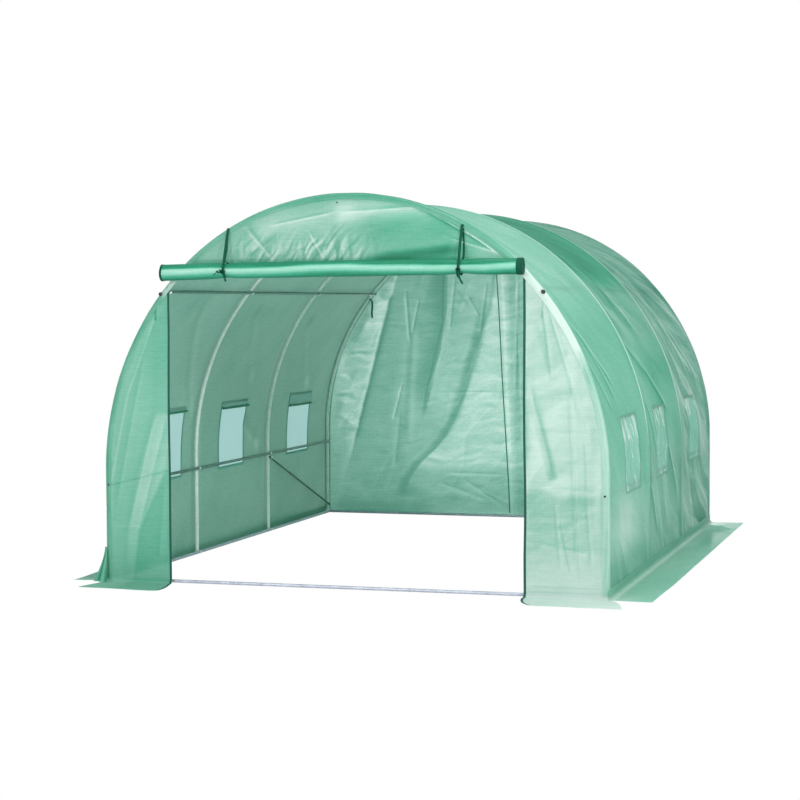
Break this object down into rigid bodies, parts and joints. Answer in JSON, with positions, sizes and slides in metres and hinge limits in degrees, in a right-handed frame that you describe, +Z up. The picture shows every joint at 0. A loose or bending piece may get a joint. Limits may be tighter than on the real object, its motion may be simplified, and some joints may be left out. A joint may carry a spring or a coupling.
{
  "type": "polytunnel greenhouse",
  "caption": "Walk-in polytunnel with a steel tube hoop frame, translucent green woven cover, rolled-up front door held by tapes, film side windows and ground flaps.",
  "frame": {"origin": "on the ground at the middle of the plan, ground flaps included", "axes": "+X to the right seen from the door, +Y from the door to the rear wall, +Z up"},
  "size_m": [3.5, 4.6, 2.2498],
  "materials": {
    "galvanised_steel": "galvanised, satin",
    "cover_fabric": "translucent woven film with a square thread grid",
    "window_film": "clear crinkled film over fine net",
    "tie_tape": "woven tape"
  },
  "bodies": {
    "root": {"front_hoop": "galvanised_steel", "second_hoop": "galvanised_steel", "third_hoop": "galvanised_steel", "rear_hoop": "galvanised_steel", "left_side_rail": "galvanised_steel", "right_side_rail": "galvanised_steel", "left_roof_rail": "galvanised_steel", "right_roof_rail": "galvanised_steel", "ridge_rail": "galvanised_steel", "left_brace": "galvanised_steel", "right_brace": "galvanised_steel", "left_ground_rail": "galvanised_steel", "right_ground_rail": "galvanised_steel", "front_ground_rail": "galvanised_steel", "rear_ground_rail": "galvanised_steel", "left_wall_front": "cover_fabric", "left_wall_middle": "cover_fabric", "left_wall_rear": "cover_fabric", "right_wall_front": "cover_fabric", "right_wall_middle": "cover_fabric", "right_wall_rear": "cover_fabric", "roof_front": "cover_fabric", "roof_middle": "cover_fabric", "roof_rear": "cover_fabric", "left_window_front": "window_film", "left_window_middle": "window_film", "left_window_rear": "window_film", "right_window_front": "window_film", "right_window_middle": "window_film", "right_window_rear": "window_film", "front_left_panel": "cover_fabric", "front_right_panel": "cover_fabric", "front_gable": "cover_fabric", "rear_left_panel": "cover_fabric", "rear_right_panel": "cover_fabric", "rear_gable": "cover_fabric", "rolled_door": "cover_fabric", "left_door_tie": "tie_tape", "right_door_tie": "tie_tape", "left_flap": "cover_fabric", "right_flap": "cover_fabric", "front_left_flap": "cover_fabric", "front_right_flap": "cover_fabric", "rear_flap": "cover_fabric", "cover_ties": "tie_tape"}
  },
  "joints": []
}
